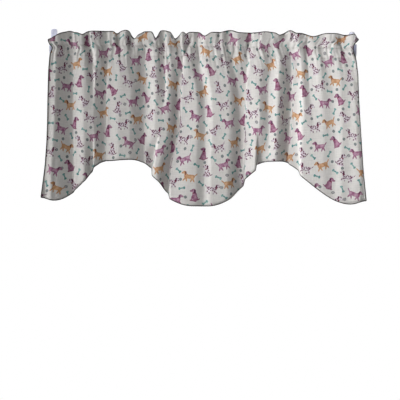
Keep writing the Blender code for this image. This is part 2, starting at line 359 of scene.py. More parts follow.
# The turned-back layer. Its distance behind the front one is least at a seam. Behind the rod it
# bulges with the gathers, though less towards its seams, and its ends stop short of the brackets.
SEAM_PITCH = 1.1
HEADER_PITCH = 2.6
POCKET_BACK = (
    # radius about the rod's axis, degrees above the horizontal behind the rod
    (10.0, -80),
    (10.8, -50),
    (10.2, 0),
    (10.8, 50),
    (9.2, 92),
)
POCKET_BACK_STEPS = 9
POCKET_BACK_END = 390.0
POCKET_BACK_TUCK = 30.0
BACK_GATHERS = 0.8
BACK_GATHERS_HIGHEST = 1.5
BACK_GATHERS_NARROWING = 0.9
ROD_CLEARANCE_RADIUS = 9.3
TURNED_IN = 4.0
SEAM_ROWS = 4
HEADER_ROWS = 13
POCKET_ROWS = 11
DROP_ROWS = 44
DROP_CROWDING = 1.3
FOLD_ROUND = (
    # below the top edge, share of the pitch behind the front layer
    (1.1, 1.0),
    (0.25, 0.8),
    (0.0, 0.5),
    (0.25, 0.2),
    (1.1, 0.0),
)


def ease(t):
    """Rise from 0 to 1 with level ends."""
    return 0.5 - 0.5 * np.cos(math.pi * np.clip(t, 0.0, 1.0))


def level(column, height):
    """Read one column of LEVELS at a height."""
    heights = [row[0] for row in LEVELS]
    return np.interp(height, heights, [row[column] for row in LEVELS])


def at_height(values, height):
    """Read a value that is given at the five FOLD_HEIGHTS, on a smooth curve through them."""
    stations = np.array(FOLD_HEIGHTS[::-1], float)
    values = np.array(values[::-1], float)
    height = min(max(height, stations[0]), stations[-1])
    slopes = np.gradient(values, stations)
    slopes[0] = slopes[-1] = 0.0
    i = min(int(np.searchsorted(stations, height, "right")) - 1, len(stations) - 2)
    span = stations[i + 1] - stations[i]
    t = (height - stations[i]) / span
    rise = t * t * (3 - 2 * t)
    bend = slopes[i] * t * (1 - t) ** 2 - slopes[i + 1] * t * t * (1 - t)
    return values[i] * (1 - rise) + values[i + 1] * rise + span * bend


def fold_depth(x, height):
    """How far the folds set the cloth back from its front plane along one level line."""
    depth = np.zeros_like(x)
    for places, depths, fall, rise, step in FOLDS:
        valley = at_height(places, height)
        deepest = at_height(depths, height)
        beyond = x - valley
        falling = ease(1 + beyond / fall)
        stepping = step * (1 - ease(beyond / STEP_WIDTH))
        rising = (1 - step) * (1 - ease(beyond / rise))
        depth += deepest * np.where(beyond < 0, falling, stepping + rising)
    return depth


def crease_depth(x, z):
    """How far the short creases set the cloth back."""
    depth = np.zeros_like(x)
    for middle_x, middle_z, length, lean, half_width, deep in CREASES:
        along_x = math.sin(math.radians(lean))
        along_z = math.cos(math.radians(lean))
        along = (x - middle_x) * along_x + (z - middle_z) * along_z
        across = (x - middle_x) * along_z - (z - middle_z) * along_x
        run = 1 - ease((np.abs(along) - length * CREASE_FULL) / (length * CREASE_FADING))
        side = half_width * np.where(across < 0, CREASE_SLOPE, CREASE_LIP)
        depth += deep * run * np.exp(-(across / side) ** 2)
    return depth


def gather_wave(flat, z):
    """The fine gathers along the panel's width, at one height."""
    wander = GATHERS_WANDER * np.sin(flat / GATHERS_WANDER_REACH) + GATHERS_DRIFT * z
    return sum(height * np.sin(2 * math.pi * flat / length + phase + wander)
               for length, phase, height in GATHERS)


def seam_strength(z):
    """Share of the fine gathers that is left at a height: all of them at a seam and between the
    two seams, and fewer further up or down."""
    above = np.exp(-np.maximum(z - HEADER_SEAM, 0) / GATHERS_FADE_UP)
    below = np.exp(-np.maximum(POCKET_SEAM - z, 0) / GATHERS_FADE_DOWN)
    return above * below


def hung_curve(height):
    """One level line of the hung cloth: x, y and the share of the flat width used up so far."""
    x = np.linspace(level(LEFT_EDGE, height), level(RIGHT_EDGE, height), CURVE_SAMPLES)
    y = level(FRONT_PLANE, height) + fold_depth(x, height)
    if abs(height) < ROD_CLEARANCE_RADIUS:
        y = np.minimum(y, -math.sqrt(ROD_CLEARANCE_RADIUS ** 2 - height ** 2))
    lengths = np.hypot(np.diff(x), np.diff(y))
    used = np.concatenate(([0.0], np.cumsum(lengths)))
    return x, y, used / used[-1]


class HungCloth:
    """Places of the flat columns, at any height, as the cloth hangs in its folds."""

    def __init__(self, columns):
        self.share = np.linspace(0.0, 1.0, columns + 1)
        self.heights = np.linspace(LOWEST_LEVEL, HIGHEST_LEVEL, LEVEL_SAMPLES)
        curves = [hung_curve(height) for height in self.heights]
        self.x = np.array([np.interp(self.share, used, x) for x, _, used in curves])
        self.y = np.array([np.interp(self.share, used, y) for _, y, used in curves])

    def place(self, heights, behind=0.0):
        """Points of every column at the given heights, set behind the face by a distance, with
        the creases, the fine gathers and the seams' pinch."""
        wanted = np.broadcast_to(heights, self.share.shape).astype(float)
        x = np.array([np.interp(h, self.heights, self.x[:, i]) for i, h in enumerate(wanted)])
        y = np.array([np.interp(h, self.heights, self.y[:, i]) for i, h in enumerate(wanted)])
        y += crease_depth(x, wanted)
        y += seam_strength(wanted) * gather_wave(self.share * FLAT_WIDTH, wanted)
        for seam in (HEADER_SEAM, POCKET_SEAM):
            y += SEAM_PINCH * np.exp(-((wanted - seam) / SEAM_PINCH_WIDTH) ** 2)
        inside = np.clip((wanted - POCKET_SEAM) / (HEADER_SEAM - POCKET_SEAM), 0, 1)
        y -= POCKET_SWELL * np.sin(math.pi * inside)
        near = np.clip(ROD_CLEARANCE_RADIUS ** 2 - wanted ** 2, 0, None)
        y = np.where(near > 0, np.minimum(y, -np.sqrt(near)), y)
        slope_x = np.gradient(x)
        slope_y = np.gradient(y)
        norm = np.hypot(slope_x, slope_y)
        return np.stack((x - behind * slope_y / norm, y + behind * slope_x / norm, wanted), axis=1)


def header_top(cloth):
    """Height of the header's top edge for each column."""
    x = cloth.place(HEADER_TOP)[:, 0]
    top = np.full_like(x, HEADER_TOP)
    for centre, depth, half_width in HEADER_DIPS:
        top -= depth * (1 - ease(np.abs(x - centre) / half_width))
    return top


def hem_height(cloth):
    """Height of the hem for each column, from the cut line."""
    flat = cloth.share * FLAT_WIDTH
    drop = np.full_like(flat, HEM_CORNER)
    start = 0.0
    last_drop = HEM_CORNER
    for stretch, next_drop in HEM_CUT:
        drop += (next_drop - last_drop) * ease((flat - start) / stretch)
        start += stretch
        last_drop = next_drop
    return -drop


def tucked(row):
    """A row behind the rod, its ends drawn in so that they stop short of the brackets."""
    ends = np.abs(row[:, 0])
    limit = POCKET_BACK_END - POCKET_BACK_TUCK
    reach = ends.max() - limit
    pulled = np.where(ends > limit, limit + (ends - limit) * POCKET_BACK_TUCK / reach, ends)
    x = np.copysign(pulled, row[:, 0])
    return np.stack((x, np.interp(x, row[:, 0], row[:, 1]), row[:, 2]), axis=1)


def sheet_rows(cloth):
    """Rows of points down the sheet, from the turned-in edge behind the pocket, over the top
    fold, to the hem."""
    low = tucked(cloth.place(POCKET_SEAM, SEAM_PITCH))
    high = tucked(cloth.place(HEADER_SEAM, SEAM_PITCH))
    rows = [tucked(cloth.place(POCKET_SEAM - TURNED_IN, SEAM_PITCH)), low]
    around = tucked(cloth.place(HEADER_SEAM))
    radii, angles = zip(*POCKET_BACK)
    wave = 1 + np.clip(gather_wave(cloth.share * FLAT_WIDTH, 0.0), -1, BACK_GATHERS_HIGHEST)
    arcs = []
    for angle in np.linspace(angles[0], angles[-1], POCKET_BACK_STEPS):
        slack = BACK_GATHERS * math.cos(math.radians(angle * BACK_GATHERS_NARROWING))
        radius = np.interp(angle, angles, radii) + slack * wave
        row = around.copy()
        row[:, 1] = radius * math.cos(math.radians(angle))
        row[:, 2] = radius * math.sin(math.radians(angle))
        arcs.append(row)
    for step in range(1, SEAM_ROWS):
        rows.append(low + (arcs[0] - low) * ease(step / SEAM_ROWS))
    rows += arcs
    for step in range(1, SEAM_ROWS + 1):
        rows.append(arcs[-1] + (high - arcs[-1]) * ease(step / SEAM_ROWS))
    top = header_top(cloth)
    for step in range(1, HEADER_ROWS):
        share = step / HEADER_ROWS
        behind = SEAM_PITCH + (HEADER_PITCH - SEAM_PITCH) * ease(2 * share)
        row = cloth.place(HEADER_SEAM + share * (top - HEADER_SEAM), behind)
        rows.append(row + (tucked(row) - row) * (1 - ease(share)))
    for below, share in FOLD_ROUND:
        rows.append(cloth.place(top - below, HEADER_PITCH * share))
    for step in range(HEADER_ROWS - 1, -1, -1):
        rows.append(cloth.place(HEADER_SEAM + step / HEADER_ROWS * (top - HEADER_SEAM)))
    for step in range(1, POCKET_ROWS + 1):
        rows.append(cloth.place(HEADER_SEAM + step / POCKET_ROWS * (POCKET_SEAM - HEADER_SEAM)))
    hem = hem_height(cloth)
    for step in range(1, DROP_ROWS + 1):
        share = (step / DROP_ROWS) ** DROP_CROWDING
        rows.append(cloth.place(POCKET_SEAM + share * (hem - POCKET_SEAM)))
    return rows


def flat_lengths(rows, seam):
    """Flat distance of every point down the sheet, from the row of the header's seam on its face.
    Below that row it is the plain drop, so that the print hangs level."""
    steps = np.linalg.norm(np.diff(rows, axis=0), axis=2).mean(axis=1)
    down = np.concatenate(([0.0], np.cumsum(steps)))[:, None] * np.ones(rows.shape[1])
    down -= down[seam]
    down[seam:] = HEADER_SEAM - rows[seam:, :, 2]
    return down


def world(point):
    """Millimetres about the rod's axis, turned into metres from the wall."""
    x, y, z = point
    return Vector((x * MM, (y - ROD_TO_WALL) * MM, z * MM))


def finished(name, bm, *materials):
    """The object of a finished bmesh, smooth, with its materials."""
    mesh = bpy.data.meshes.new(name)
    bm.to_mesh(mesh)
    bm.free()
    for material in materials:
        mesh.materials.append(material)
    mesh.shade_smooth()
    piece = bpy.data.objects.new(name, mesh)
    bpy.context.scene.collection.objects.link(piece)
    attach(piece, "root")
    return piece


FLAT_MAP = "Flat cloth in mm"


def laid_sheet(name, rows, down, *materials):
    """A flat grid laid on rows of points. Its UV map is the flat cloth itself, in mm."""
    spans = rows.shape[0] - 1
    columns = rows.shape[1] - 1
    bm = bmesh.new()
    bmesh.ops.create_grid(bm, x_segments=columns, y_segments=spans, size=1.0)
    flat_map = bm.loops.layers.uv.new(FLAT_MAP)
    flat = {}
    for vertex in bm.verts:
        column = round((vertex.co.x + 1) / 2 * columns)
        row = round((vertex.co.y + 1) / 2 * spans)
        vertex.co = world(rows[row][column])
        flat[vertex] = (column / columns * FLAT_WIDTH, -down[row][column])
    for face in bm.faces:
        for loop in face.loops:
            loop[flat_map].uv = flat[loop.vert]
    bmesh.ops.reverse_faces(bm, faces=bm.faces)
    return finished(name, bm, *materials)


# The print is a plain tossed pet print: sitting and trotting puppies, bones, balls and small
# flowers, each kind on a square lattice of its own. Shapes are ovals in mm about the motif's
# middle. A motif strays from its place by a share of its cell, and leans by some degrees.
PUPPY_PITCH = 50.0
PUPPY_STRAY = 0.1
PUPPY_LEAN = 24
PRINT_TURN = 17.0
SITTING_BODY = (
    # x, y, half length, half height, turn
    (-3.5, -7.5, 7.2, 7.0, 15),
    (-0.5, 0.0, 6.2, 10.0, -22),
    (4.6, 11.0, 5.8, 5.0, 0),
    (10.4, 9.2, 4.2, 2.7, -8),
    (4.6, -6.5, 2.3, 9.0, 5),
    (6.0, -14.8, 3.3, 1.8, 0),
    (-2.0, -14.4, 6.4, 2.1, 0),
    (-12.2, -9.0, 5.6, 1.6, -38),
)
SITTING_MARKS = (
    (1.4, 9.4, 2.3, 5.2, -12),
    (14.0, 9.8, 1.2, 1.1, 0),
    (7.4, 12.2, 0.7, 0.8, 0),
)
SITTING_COLLAR = (2.6, 5.0, 5.2, 1.2, -18)
TROTTING_BODY = (
    (0.0, 1.0, 12.5, 5.4, 4),
    (-8.0, 1.4, 5.4, 6.3, 0),
    (8.6, 1.6, 5.6, 5.4, 0),
    (-11.4, 6.8, 3.4, 5.6, 28),
    (-14.2, 10.6, 4.9, 4.0, 0),
    (-18.6, 9.0, 3.5, 2.3, 10),
    (-11.6, -6.6, 1.9, 6.6, -34),
    (-6.4, -6.8, 1.8, 6.2, 16),
    (7.2, -6.4, 2.1, 6.8, -20),
    (11.8, -6.0, 2.0, 6.6, 30),
    (16.0, 6.8, 6.0, 1.5, 48),
)
TROTTING_MARKS = (
    (-11.4, 9.6, 2.0, 4.2, 22),
    (-21.4, 9.8, 1.1, 1.0, 0),
    (-15.6, 11.8, 0.7, 0.7, 0),
)
TROTTING_COLLAR = (-10.6, 6.4, 4.2, 1.1, 62)

# A coat is deeper in colour within a rim along its outline, and some coats are spotted.
RIM_WIDTH = 2.2
RIM_DEPTH = 0.55
SPOT_PITCH = 5.2
SPOT_UNEVENNESS = 0.85
SPOT_SIZE = 0.36
SPOT_SOFT = 0.08

# Bones, balls and flowers mirror both ways, so the shapes in one quarter are enough. Balls and
# flowers share one lattice: each takes a share of its places, and the rest stay bare.
BONE_STRAY = 0.14
BONE_LEAN = 80
BONE_SHAFT = (0, 0, 9.0, 1.8, 0)
BONE_KNOB = (6.5, 1.7, 2.3, 2.1, 0)
BONE_JOIN = 0.8
SMALL_STRAY = 0.16
SMALL_LEAN = 60
BALL_SHARE = 0.35
BALL = (0, 0, 4.1, 4.1, 0)
BALL_CURVE = (6.4, 0, 4.6, 4.6, 0)
BALL_LINE = 0.55
FLOWER_SHARE = 0.11
FLOWER = (
    (0.0, -1.6, 2.9, 2.3, 0),
    (1.4, 2.7, 1.05, 1.5, -8),
    (3.5, 0.8, 1.0, 1.4, -32),
)

# A hand-painted line is never quite true, and a wash of ink dries unevenly.
OUTLINE_SOFT = 0.45
SHAPE_JOIN = 1.2
WASH_SIZE = 9.0
HAND_WOBBLE = 1.1
HAND_WOBBLE_SIZE = 7.0

GROUND = linear("E8E5E2")
PUPPY_KINDS = (
    # start along the ramp, lighter colour, deeper colour, marks, trotting, spotted
    (0.0, "C99DB3", "8F4F72", "5E3050", 0, 0),
    (0.2, "EDE8EA", "DCCFD8", "5B2A45", 1, 1),
    (0.4, "E3BA96", "C99468", "7A5038", 1, 0),
    (0.6, "EBE6E8", "D9CCD6", "5B2A45", 0, 1),
    (0.8, "CEA8BC", "9C6284", "683A58", 1, 0),
)
RAMP_INSET = 0.05
COLLAR_RED = linear("8E3345")
SPOT_MAROON = linear("6B3350")
BONE_LIGHT = linear("8DB8B2")
BONE_DEEP = linear("4F8A88")
BALL_GREY = linear("959C9C")
BALL_SEAM = linear("5F6668")
FLOWER_GREY = linear("6E6E74")


def maths(tree, operation, *values, **settings):
    """One step of arithmetic on numbers."""
    return add_node(tree, "ShaderNodeMath", values, operation=operation, **settings)


def vector_maths(tree, operation, *values):
    """One step of arithmetic on places."""
    return add_node(tree, "ShaderNodeVectorMath", values, operation=operation)


def flat_noise(tree, place, size, detail, **sockets):
    """Noise over the flat cloth, whose grains are of a size in mm."""
    return add_node(tree, "ShaderNodeTexNoise", {
        "Vector": place, "Scale": 1 / size, "Detail": detail, **sockets}, noise_dimensions="2D")


def tossed(tree, place, pitch, turn, shift, stray, lean):
    """The square lattice of one kind of motif. Returns the place of each point about its motif's
    middle, the motif's cell, and three chances of its own."""
    cells = add_node(tree, "ShaderNodeMapping", [
        place, (*shift, 0), (0, 0, math.radians(turn)), (pitch, pitch, 1)], vector_type="TEXTURE")
    cell = vector_maths(tree, "FLOOR", cells)
    chance = add_node(tree, "ShaderNodeTexWhiteNoise", [cell], noise_dimensions="2D")
    least = 0.5 - stray / 2
    middle = vector_maths(tree, "MULTIPLY_ADD", chance.outputs["Color"], (stray, stray, 0),
                          (least, least, 0))
    about = vector_maths(tree, "SUBTRACT", vector_maths(tree, "FRACTION", cells), middle)
    in_mm = vector_maths(tree, "MULTIPLY", about, (pitch, pitch, 0))
    angle = add_node(tree, "ShaderNodeMapRange", [
        chance.outputs["Value"], 0.0, 1.0, math.radians(turn - lean), math.radians(turn + lean)])
    upright = add_node(tree, "ShaderNodeVectorRotate", {"Vector": in_mm, "Angle": angle},
                       rotation_type="Z_AXIS")
    return upright, cell, chance.outputs["Color"]


def oval(tree, place, shape):
    """Distance in mm from the outline of one oval, negative inside."""
    x, y, half_length, half_height, turn = shape
    about = add_node(tree, "ShaderNodeMapping", [
        place, (x, y, 0), (0, 0, math.radians(turn)), (half_length, half_height, 1)],
        vector_type="TEXTURE")
    narrow = min(half_length, half_height)
    return maths(tree, "MULTIPLY_ADD", vector_maths(tree, "LENGTH", about), narrow, -narrow)


def joined(tree, place, shapes):
    """Distance from the outline of several ovals that run into each other."""
    whole = oval(tree, place, shapes[0])
    for shape in shapes[1:]:
        whole = maths(tree, "SMOOTH_MIN", whole, oval(tree, place, shape), SHAPE_JOIN)
    return whole


def inked(tree, distance):
    """Cover of the ink, from 1 inside an outline to 0 outside it."""
    return add_node(tree, "ShaderNodeMapRange", [distance, -OUTLINE_SOFT, OUTLINE_SOFT, 1.0, 0.0],
                    interpolation_type="SMOOTHSTEP")


def pet_print():
    """The print as one node group: the cloth's flat place in mm in, colour out."""
    tree = bpy.data.node_groups.new("Tossed pet print", "ShaderNodeTree")
    tree.interface.new_socket("Place", in_out="INPUT", socket_type="NodeSocketVector")
    tree.interface.new_socket("Colour", in_out="OUTPUT", socket_type="NodeSocketColor")
    true_place = add_node(tree, "NodeGroupInput").outputs[0]
    wobble = flat_noise(tree, true_place, HAND_WOBBLE_SIZE, 2.0).outputs["Color"]
    shift = vector_maths(tree, "MULTIPLY_ADD", wobble, (HAND_WOBBLE, HAND_WOBBLE, 0),
                         (-HAND_WOBBLE / 2, -HAND_WOBBLE / 2, 0))
    place = vector_maths(tree, "ADD", true_place, shift)
    wash = flat_noise(tree, true_place, WASH_SIZE, 3.0)
    tone = add_node(tree, "ShaderNodeMapRange", [wash, NOISE_LOW, NOISE_HIGH, 0.0, 1.0])

    # Balls and flowers, on some of the middles of the puppies' cell sides.
    spot, _, chance = tossed(tree, place, PUPPY_PITCH / math.sqrt(2), PRINT_TURN + 45, (0, 0),
                             SMALL_STRAY, SMALL_LEAN)
    pick = add_node(tree, "ShaderNodeSeparateXYZ", [chance]).outputs["Z"]
    beside = vector_maths(tree, "ABSOLUTE", spot)
    ball = inked(tree, oval(tree, spot, BALL))
    curve = maths(tree, "ABSOLUTE", oval(tree, beside, BALL_CURVE))
    seam = inked(tree, maths(tree, "SUBTRACT", curve, BALL_LINE))
    ball_colour = mixed(tree, seam, BALL_GREY, BALL_SEAM)
    flower = inked(tree, joined(tree, beside, FLOWER))
    bare = (1 + BALL_SHARE - FLOWER_SHARE) / 2
    is_flower = maths(tree, "GREATER_THAN", pick, bare)
    left_out = maths(tree, "COMPARE", pick, bare, bare - BALL_SHARE)
    shown = maths(tree, "SUBTRACT", 1.0, left_out)
    small_ink = maths(tree, "MULTIPLY", mixed(tree, is_flower, ball, flower, "FLOAT"), shown)
    small_colour = mixed(tree, is_flower, ball_colour, FLOWER_GREY)
    colour = mixed(tree, small_ink, GROUND, small_colour)

    # Bones, on the corners of the puppies' cells.
    corner = Matrix.Rotation(math.radians(PRINT_TURN), 2) @ Vector((PUPPY_PITCH / 2, PUPPY_PITCH / 2))
    spot, _, _ = tossed(tree, place, PUPPY_PITCH, PRINT_TURN, corner, BONE_STRAY, BONE_LEAN)
    quarter = vector_maths(tree, "ABSOLUTE", spot)
    shaft = oval(tree, quarter, BONE_SHAFT)
    knob = oval(tree, quarter, BONE_KNOB)
    bone = inked(tree, maths(tree, "SMOOTH_MIN", shaft, knob, BONE_JOIN))
    colour = mixed(tree, bone, colour, mixed(tree, tone, BONE_LIGHT, BONE_DEEP))

    # Puppies. The five kinds take turns along and across the lattice, some of them mirrored. Each
    # reads its colours a little inside its own stop of the ramps.
    spot, cell, chance = tossed(tree, place, PUPPY_PITCH, PRINT_TURN, (0, 0), PUPPY_STRAY, PUPPY_LEAN)
    pick = add_node(tree, "ShaderNodeSeparateXYZ", [chance]).outputs["Z"]
    side = maths(tree, "SIGN", maths(tree, "SUBTRACT", pick, 0.5))
    mirror = add_node(tree, "ShaderNodeCombineXYZ", [side, 1.0, 1.0])
    spot = vector_maths(tree, "MULTIPLY", spot, mirror)
    count = vector_maths(tree, "DOT_PRODUCT", cell, (1, 2, 0))
    kind = maths(tree, "FLOORED_MODULO", count, len(PUPPY_KINDS))
    share = maths(tree, "MULTIPLY_ADD", kind, 1 / len(PUPPY_KINDS), RAMP_INSET)
    ramps = []
    for column in (1, 2, 3):
        stops = [(row[0], linear(row[column])) for row in PUPPY_KINDS]
        ramps.append(add_node(tree, "ShaderNodeValToRGB", [share], stops))
    stops = [(row[0], (row[4], row[5], 0, 1)) for row in PUPPY_KINDS]
    ramps.append(add_node(tree, "ShaderNodeValToRGB", [share], stops))
    for ramp in ramps:
        ramp.color_ramp.interpolation = "CONSTANT"
    light, deep, marked, switches = ramps
    switch = add_node(tree, "ShaderNodeSeparateColor", [switches])
    trots = switch.outputs["Red"]
    body = mixed(tree, trots, joined(tree, spot, SITTING_BODY),
                 joined(tree, spot, TROTTING_BODY), "FLOAT")
    marks = mixed(tree, trots, joined(tree, spot, SITTING_MARKS),
                  joined(tree, spot, TROTTING_MARKS), "FLOAT")
    collar = mixed(tree, trots, oval(tree, spot, SITTING_COLLAR),
                   oval(tree, spot, TROTTING_COLLAR), "FLOAT")
    rim = add_node(tree, "ShaderNodeMapRange", [body, -RIM_WIDTH, 0.0, 0.0, RIM_DEPTH])
    coat = mixed(tree, maths(tree, "ADD", tone, rim, use_clamp=True), light, deep)
    spots = add_node(tree, "ShaderNodeTexVoronoi", {
        "Vector": spot, "Scale": 1 / SPOT_PITCH, "Randomness": SPOT_UNEVENNESS},
        voronoi_dimensions="2D")
    spot_cover = add_node(tree, "ShaderNodeMapRange", [
        spots, SPOT_SIZE - SPOT_SOFT, SPOT_SIZE + SPOT_SOFT, 1.0, 0.0])
    spot_ink = maths(tree, "MULTIPLY", spot_cover, switch.outputs["Green"])
    coat = mixed(tree, spot_ink, coat, SPOT_MAROON)
    body_ink = inked(tree, body)
    collar_ink = maths(tree, "MULTIPLY", inked(tree, collar), body_ink)
    coat = mixed(tree, collar_ink, coat, COLLAR_RED)
    coat = mixed(tree, inked(tree, marks), coat, marked)
    colour = mixed(tree, body_ink, colour, coat)

    add_node(tree, "NodeGroupOutput", [colour])
    return tree


printed = pet_print()

THREAD_PITCH = 0.9
# How much painted shade darkens the cloth's colour where the weave lies low.
WEAVE_PAINTED_SHADE = 0.05
SLUB_LENGTH = 26.0
SLUB_WIDTH = 2.2
SLUB_HEIGHT = 0.8
SLUB_LOW = 0.7
SLUB_HIGH = 1.3
THREAD_DARKEST = 0.9
THREAD_LIGHTEST = 1.06
STRUCK_THROUGH = 0.3
WEAVE_RELIEF = 0.0002


def printed_cotton(name, print_share):
    """Plain-weave cotton, matt and a little fuzzy. Its threads, 0.35 mm apart on the real cloth,
    are drawn 0.9 mm apart so that they show close to, with thick and thin places along them, and
    the colour gets painted shade where the weave lies low. The wrong side shows only a share of
    the print, where the ink has struck through."""
    material, tree, shader = new_material(
        name, Roughness=0.9, IOR=1.46, Specular_IOR_Level=0.25, Sheen_Weight=0.12, Sheen_Roughness=0.6)
    flat = add_node(tree, "ShaderNodeUVMap", uv_map=FLAT_MAP).outputs["UV"]
    ink = add_node(tree, "ShaderNodeGroup", [flat], node_tree=printed)
    threads = vector_maths(tree, "MULTIPLY", flat, (math.pi / THREAD_PITCH,) * 3)
    wave = add_node(tree, "ShaderNodeSeparateXYZ", [vector_maths(tree, "SINE", threads)])
    weave = maths(tree, "MULTIPLY", wave.outputs["X"], wave.outputs["Y"])
    slubs = []
    for stretch in ((SLUB_LENGTH, SLUB_WIDTH, 1.0), (SLUB_WIDTH, SLUB_LENGTH, 1.0)):
        along = vector_maths(tree, "DIVIDE", flat, stretch)
        slubs.append(flat_noise(tree, along, 1.0, 3.0, Roughness=0.6))
    slub = maths(tree, "ADD", *slubs)
    # Painted shade between the threads: the colour is darker where the weave lies low, on top of the
    # slubs' random tone.
    slub_tone_and_weave_shade = maths(tree, "MULTIPLY_ADD", weave, WEAVE_PAINTED_SHADE, slub)
    shade = add_node(tree, "ShaderNodeMapRange", [
        slub_tone_and_weave_shade, SLUB_LOW, SLUB_HIGH, THREAD_DARKEST, THREAD_LIGHTEST])
    colour = mixed(tree, print_share, GROUND, ink)
    shaded = add_node(tree, "ShaderNodeVectorMath", {"Vector": colour, "Scale": shade},
                      operation="SCALE")
    height = maths(tree, "MULTIPLY_ADD", slub, SLUB_HEIGHT, weave)
    relief = add_node(tree, "ShaderNodeBump", {
        "Height": height, "Strength": 0.35, "Distance": WEAVE_RELIEF})
    tree.links.new(shaded.outputs[0], shader.inputs["Base Color"])
    tree.links.new(relief.outputs[0], shader.inputs["Normal"])
    return material


cloth_rows = np.array(sheet_rows(HungCloth(COLUMNS)))
pocket_seam_row = len(cloth_rows) - 1 - DROP_ROWS
header_seam_row = pocket_seam_row - POCKET_ROWS
cloth_down = flat_lengths(cloth_rows, header_seam_row)
valance = laid_sheet("valance", cloth_rows, cloth_down,
                     printed_cotton("Cotton, plain weave, printed face", 1.0),
                     printed_cotton("Cotton, plain weave, wrong side", STRUCK_THROUGH))
solidify = valance.modifiers.new("Thickness", "SOLIDIFY")
solidify.thickness = CLOTH_THICKNESS * MM
solidify.offset = 0.0
solidify.material_offset = 1
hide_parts("valance_cloth")


# ---------------------------------------------------------------------------------------------
# Overlocked edge. Charcoal polyester thread, sewn densely round the side edges, the hem and the
# header's top fold by an overlock machine. It stands as a thin dark bead of slanted turns.
# ---------------------------------------------------------------------------------------------

BEAD_RADIUS = 1.25
TOP_BEAD_RADIUS = 1.8
BEAD_SIDES = 8
BEAD_STEP = 0.8
BEAD_CORNER = 2.5
THREAD_TURN = 2.4
THREAD_RELIEF = 0.16
THREAD_FUZZ = 1 / 3
THREAD_FUZZ_HEIGHT = 0.0001
# How far painted shade darkens the grooves between the thread's turns, and painted light brightens
# their crowns.
TURN_PAINTED_SHADE = 0.35
MERGE_DISTANCE = 0.00001
BEAD_MAP = "Bead in mm"
BEAD_DARK = linear("282423")
BEAD_LIGHT = linear("423C39")


def evenly(points, step):
    """A path read again at even steps along it, its corners rounded."""
    points = np.array(points)
    reach = np.concatenate(([0.0], np.cumsum(np.linalg.norm(np.diff(points, axis=0), axis=1))))
    count = int(reach[-1] / step)
    places = np.linspace(0, reach[-1], count + 1)
    path = np.stack([np.interp(places, reach, points[:, axis]) for axis in range(3)], axis=1)
    for _ in range(int(BEAD_CORNER / step) * 2):
        path[1:-1] = (path[:-2] + 2 * path[1:-1] + path[2:]) / 4
    return path, places


def thread_bead(name, points, thickness, material):
    """A bead of thread along a path: a flat grid wrapped round it, its long seam merged and its
    ends filled. The turns of thread swell it on a slant."""
    path, places = evenly(points, BEAD_STEP)
    ahead = np.gradient(path, axis=0)
    ahead /= np.linalg.norm(ahead, axis=1, keepdims=True)
    side = Vector(ahead[0]).orthogonal().normalized()
    sides = []
    for direction in ahead:
        side = (side - Vector(direction) * side.dot(Vector(direction))).normalized()
        sides.append(side)
    bm = bmesh.new()
    bmesh.ops.create_grid(bm, x_segments=len(path) - 1, y_segments=BEAD_SIDES, size=1.0)
    bead_map = bm.loops.layers.uv.new(BEAD_MAP)
    flat = {}
    for vertex in bm.verts:
        along = round((vertex.co.x + 1) / 2 * (len(path) - 1))
        turn = round((vertex.co.y + 1) / 2 * BEAD_SIDES) / BEAD_SIDES
        swell = math.cos(2 * math.pi * (places[along] / THREAD_TURN + turn))
        radius = thickness + THREAD_RELIEF * swell
        arm = Matrix.Rotation(2 * math.pi * turn, 3, Vector(ahead[along])) @ sides[along]
        vertex.co = world(Vector(path[along]) + arm * radius)
        flat[vertex] = (places[along], turn * 2 * math.pi * BEAD_RADIUS)
    for face in bm.faces:
        for loop in face.loops:
            loop[bead_map].uv = flat[loop.vert]
    bmesh.ops.remove_doubles(bm, verts=bm.verts, dist=MERGE_DISTANCE)
    bmesh.ops.holes_fill(bm, edges=bm.edges, sides=BEAD_SIDES)
    bmesh.ops.recalc_face_normals(bm, faces=bm.faces)
    return finished(name, bm, material)


def overlock_thread():
    """Textured polyester thread, matt. Its colour has painted shade, nearly black, in the grooves
    between its turns, and painted light on their crowns.
    """
    material, tree, shader = new_material("Polyester overlock thread, charcoal", Roughness=0.75,
                                          IOR=1.55, Specular_IOR_Level=0.3, Sheen_Weight=0.1)
    flat = add_node(tree, "ShaderNodeUVMap", uv_map=BEAD_MAP).outputs["UV"]
    place = add_node(tree, "ShaderNodeSeparateXYZ", [flat])
    around = maths(tree, "MULTIPLY", place.outputs["Y"], 1 / (2 * math.pi * BEAD_RADIUS))
    turns = maths(tree, "MULTIPLY_ADD", place.outputs["X"], 1 / THREAD_TURN, around)
    wave = maths(tree, "COSINE", maths(tree, "MULTIPLY", turns, 2 * math.pi))
    fuzz = flat_noise(tree, flat, THREAD_FUZZ, 2.0)
    # Painted shade in the grooves and painted light on the crowns follow the turns' swell; the fuzz
    # adds random tone.
    lit = maths(tree, "MULTIPLY_ADD", wave, TURN_PAINTED_SHADE, fuzz, use_clamp=True)
    tint = mixed(tree, lit, BEAD_DARK, BEAD_LIGHT)
    relief = add_node(tree, "ShaderNodeBump", {
        "Height": fuzz, "Strength": 0.4, "Distance": THREAD_FUZZ_HEIGHT})
    tree.links.new(tint.outputs[2], shader.inputs["Base Color"])
    tree.links.new(relief.outputs[0], shader.inputs["Normal"])
    return material


charcoal = overlock_thread()
edge_path = np.concatenate((cloth_rows[:, 0], cloth_rows[-1, 1:-1], cloth_rows[::-1, -1]))
top_fold_row = header_seam_row - HEADER_ROWS - len(FOLD_ROUND) // 2
edge_bead = thread_bead("overlock_edge", edge_path, BEAD_RADIUS, charcoal)
top_bead = thread_bead("overlock_header_top", cloth_rows[top_fold_row], TOP_BEAD_RADIUS, charcoal)


# ---------------------------------------------------------------------------------------------
# Seams. Two rows of lockstitch in ecru cotton-wrapped polyester close the rod pocket, one below
# the header and one under the rod. Each stitch shows on the face and on the back.
# ---------------------------------------------------------------------------------------------

